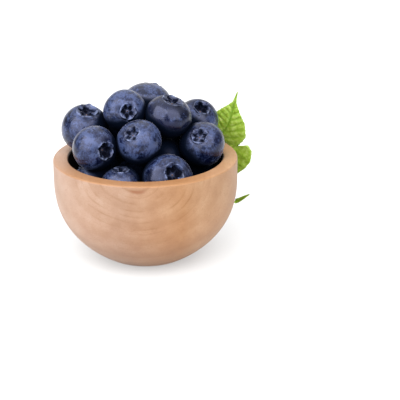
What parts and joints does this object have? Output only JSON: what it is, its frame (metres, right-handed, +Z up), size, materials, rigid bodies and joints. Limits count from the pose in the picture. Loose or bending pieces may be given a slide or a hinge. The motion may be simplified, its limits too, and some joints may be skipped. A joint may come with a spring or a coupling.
{
  "type": "bowl of blueberries",
  "caption": "Small turned wooden bowl heaped with blueberries, with a leafy green sprig tucked in at the back of its rim.",
  "frame": {"origin": "centre of the underside of the bowl's foot", "axes": "+Z up; the shown face of the heap looks along -Y, and the sprig is at the back right, towards +X and +Y"},
  "size_m": [0.0845, 0.078, 0.0721],
  "materials": {
    "pale_wood": "satin",
    "blueberry_skin": "satin",
    "green_leaf": "satin"
  },
  "bodies": {
    "root": {"bowl": "pale_wood", "berry_heap": "blueberry_skin", "leaf_sprig": "green_leaf"}
  },
  "joints": []
}
